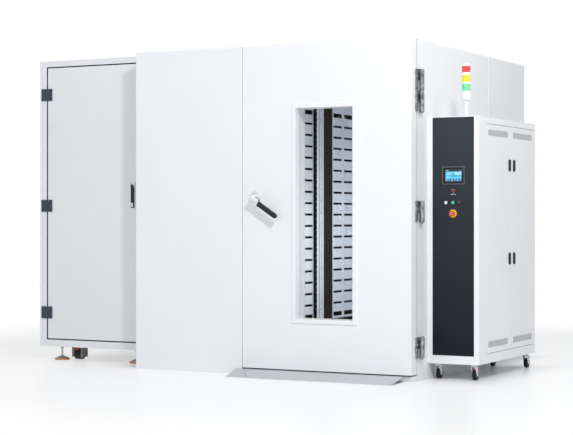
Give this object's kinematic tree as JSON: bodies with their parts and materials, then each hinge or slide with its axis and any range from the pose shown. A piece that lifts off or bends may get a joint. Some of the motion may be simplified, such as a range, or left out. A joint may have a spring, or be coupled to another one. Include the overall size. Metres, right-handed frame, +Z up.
{
  "type": "environmental test chamber",
  "caption": "Walk-in climate test chamber with a hinged windowed door, threshold ramp, machine cabinet on the left and a control cabinet with stack light on the right.",
  "frame": {"origin": "on the floor, under the middle of the test chamber's footprint", "axes": "+Z up, -Y out of the front of the chamber where the door is, +X to the right as seen from the front, towards the control cabinet"},
  "size_m": [3.8953, 2.7, 2.5],
  "materials": {
    "white_paint": "fine satin powder coat",
    "grey_paint": "satin powder coat",
    "dark_panel": "dark grey anodised look",
    "stainless": "fine brushed",
    "chrome": "polished",
    "slate": "satin grey hinge",
    "cast": "dark painted casting",
    "aluminium": "mill finned coil",
    "zinc": "zinc plated",
    "black_paint": "satin black",
    "black_plastic": "fine grain",
    "grey_plastic": "fine grain",
    "white_plastic": "smooth",
    "lens": "ribbed translucent, three colours",
    "green_cap": "translucent",
    "white_cap": "translucent",
    "red_plastic": "smooth",
    "glazing": "clear heated glazing",
    "gasket": "soft silicone",
    "tread": "moulded wheel"
  },
  "bodies": {
    "root": {"floor_base": "white_paint", "roof_panel": "white_paint", "left_wall": "white_paint", "right_wall": "white_paint", "back_wall": "white_paint", "front_wall": "white_paint", "inner_liner": "stainless", "entry_ramp": "white_paint", "duct_wall": "stainless", "shelf_posts": "stainless", "fan_motor": "cast", "evaporator_coil": "aluminium", "hinge_wall_leaves": "chrome", "machine_casing": "grey_paint", "machine_frame_leaves": "slate", "compressors": "black_paint", "condenser_unit": "aluminium", "levelling_feet": "zinc", "machine_casters": "cast", "control_casing": "white_paint", "control_panel": "dark_panel", "hmi": "black_plastic", "temperature_limiter": "black_plastic", "switch_collars": "chrome", "stack_body": "white_plastic", "stack_lenses": "lens", "mounting_plate": "zinc"},
    "fan_impeller": {"fan_impeller": "zinc"},
    "door": {"door_slab": "white_paint", "window_frame": "white_paint", "window_panes": "glazing", "door_gasket": "gasket", "hinge_door_leaves": "chrome", "latch_body": "chrome"},
    "latch_lever": {"latch_lever": "chrome", "latch_grip": "black_plastic"},
    "latch_bolt": {"latch_bolt": "zinc"},
    "machine_door": {"machine_door": "grey_paint", "machine_door_leaves": "slate", "machine_handle_pan": "black_plastic"},
    "machine_handle_lever": {"machine_handle_lever": "black_plastic"},
    "condenser_fan": {"condenser_fan": "black_plastic"},
    "button_white": {"button_white": "white_cap"},
    "button_green": {"button_green": "green_cap"},
    "selector_switch": {"selector_switch": "black_plastic"},
    "emergency_stop": {"emergency_stop": "red_plastic"},
    "side_door_front": {"side_door_front": "white_paint"},
    "side_door_rear": {"side_door_rear": "white_paint"},
    "side_lock_front_lower": {"side_lock_front_lower": "black_plastic"},
    "side_lock_front_upper": {"side_lock_front_upper": "black_plastic"},
    "side_lock_rear_lower": {"side_lock_rear_lower": "black_plastic"},
    "side_lock_rear_upper": {"side_lock_rear_upper": "black_plastic"},
    "caster_fork_left_front": {"caster_fork_left_front": "zinc"},
    "caster_wheel_left_front": {"caster_wheel_left_front": "tread"},
    "caster_fork_left_rear": {"caster_fork_left_rear": "zinc"},
    "caster_wheel_left_rear": {"caster_wheel_left_rear": "tread"},
    "caster_fork_right_front": {"caster_fork_right_front": "zinc"},
    "caster_wheel_right_front": {"caster_wheel_right_front": "tread"},
    "caster_fork_right_rear": {"caster_fork_right_rear": "zinc"},
    "caster_wheel_right_rear": {"caster_wheel_right_rear": "tread"}
  },
  "joints": [
    {"name": "door_hinge", "type": "hinge", "parent": "root", "child": "door", "pos_m": [1.208, -1.082, 1.25], "axis": [0, 0, 1], "range_deg": [0, 135]},
    {"name": "latch_turn", "type": "hinge", "parent": "door", "child": "latch_lever", "pos_m": [-0.095, -1.25, 1.336], "axis": [0, 1, 0], "range_deg": [0, 55]},
    {"name": "latch_bolt_slide", "type": "slide", "parent": "door", "child": "latch_bolt", "axis": [-1, 0, 0], "range_m": [0, 0.018]},
    {"name": "machine_door_hinge", "type": "hinge", "parent": "root", "child": "machine_door", "pos_m": [-2.218, -0.994, 1.3], "axis": [0, 0, -1], "range_deg": [0, 120]},
    {"name": "machine_handle_lift", "type": "hinge", "parent": "machine_door", "child": "machine_handle_lever", "pos_m": [-1.365, -0.998, 1.456], "axis": [-1, 0, 0], "range_deg": [0, 55]},
    {"name": "circulation_fan_spin", "type": "hinge", "parent": "root", "child": "fan_impeller", "pos_m": [-1.185, 0.05, 1.99], "axis": [1, 0, 0], "continuous": true},
    {"name": "condenser_fan_spin", "type": "hinge", "parent": "root", "child": "condenser_fan", "pos_m": [-1.8, 0.505, 1.1], "axis": [0, 1, 0], "continuous": true},
    {"name": "press_white", "type": "slide", "parent": "root", "child": "button_white", "axis": [0, 1, 0], "range_m": [0, 0.004], "stiffness_N_per_m": 400},
    {"name": "press_green", "type": "slide", "parent": "root", "child": "button_green", "axis": [0, 1, 0], "range_m": [0, 0.004], "stiffness_N_per_m": 400},
    {"name": "press_stop", "type": "slide", "parent": "root", "child": "emergency_stop", "axis": [0, 1, 0], "range_m": [0, 0.005], "stiffness_N_per_m": 600},
    {"name": "selector_turn", "type": "hinge", "parent": "root", "child": "selector_switch", "pos_m": [1.445, -0.915, 1.305], "axis": [0, 1, 0], "range_deg": [-45, 45]},
    {"name": "side_door_front_hinge", "type": "hinge", "parent": "root", "child": "side_door_front", "pos_m": [1.581, -0.7355, 1.04], "axis": [0, 0, -1], "range_deg": [0, 110]},
    {"name": "side_door_rear_hinge", "type": "hinge", "parent": "root", "child": "side_door_rear", "pos_m": [1.581, 0.2955, 1.04], "axis": [0, 0, 1], "range_deg": [0, 110]},
    {"name": "lock_front_lower_turn", "type": "hinge", "parent": "side_door_front", "child": "side_lock_front_lower", "pos_m": [1.587, -0.27, 0.882], "axis": [1, 0, 0], "range_deg": [0, 90]},
    {"name": "lock_front_upper_turn", "type": "hinge", "parent": "side_door_front", "child": "side_lock_front_upper", "pos_m": [1.587, -0.27, 1.594], "axis": [1, 0, 0], "range_deg": [0, 90]},
    {"name": "lock_rear_lower_turn", "type": "hinge", "parent": "side_door_rear", "child": "side_lock_rear_lower", "pos_m": [1.587, -0.17, 0.882], "axis": [-1, 0, 0], "range_deg": [0, 90]},
    {"name": "lock_rear_upper_turn", "type": "hinge", "parent": "side_door_rear", "child": "side_lock_rear_upper", "pos_m": [1.587, -0.17, 1.594], "axis": [-1, 0, 0], "range_deg": [0, 90]},
    {"name": "swivel_left_front", "type": "hinge", "parent": "root", "child": "caster_fork_left_front", "pos_m": [1.244, -0.857, 0.11], "axis": [0, 0, 1], "range_deg": [-145, 35]},
    {"name": "roll_left_front", "type": "hinge", "parent": "caster_fork_left_front", "child": "caster_wheel_left_front", "pos_m": [1.244, -0.829, 0.0375], "axis": [1, 0, 0], "continuous": true},
    {"name": "swivel_left_rear", "type": "hinge", "parent": "root", "child": "caster_fork_left_rear", "pos_m": [1.244, 0.274, 0.11], "axis": [0, 0, 1], "range_deg": [-145, 35]},
    {"name": "roll_left_rear", "type": "hinge", "parent": "caster_fork_left_rear", "child": "caster_wheel_left_rear", "pos_m": [1.244, 0.302, 0.0375], "axis": [1, 0, 0], "continuous": true},
    {"name": "swivel_right_front", "type": "hinge", "parent": "root", "child": "caster_fork_right_front", "pos_m": [1.528, -0.857, 0.11], "axis": [0, 0, 1], "continuous": true},
    {"name": "roll_right_front", "type": "hinge", "parent": "caster_fork_right_front", "child": "caster_wheel_right_front", "pos_m": [1.528, -0.829, 0.0375], "axis": [1, 0, 0], "continuous": true},
    {"name": "swivel_right_rear", "type": "hinge", "parent": "root", "child": "caster_fork_right_rear", "pos_m": [1.528, 0.274, 0.11], "axis": [0, 0, 1], "continuous": true},
    {"name": "roll_right_rear", "type": "hinge", "parent": "caster_fork_right_rear", "child": "caster_wheel_right_rear", "pos_m": [1.528, 0.302, 0.0375], "axis": [1, 0, 0], "continuous": true}
  ],
  "couplings": [
    {"joint": "latch_bolt_slide", "follows": "latch_turn", "m_per_rad": 0.01875}
  ]
}
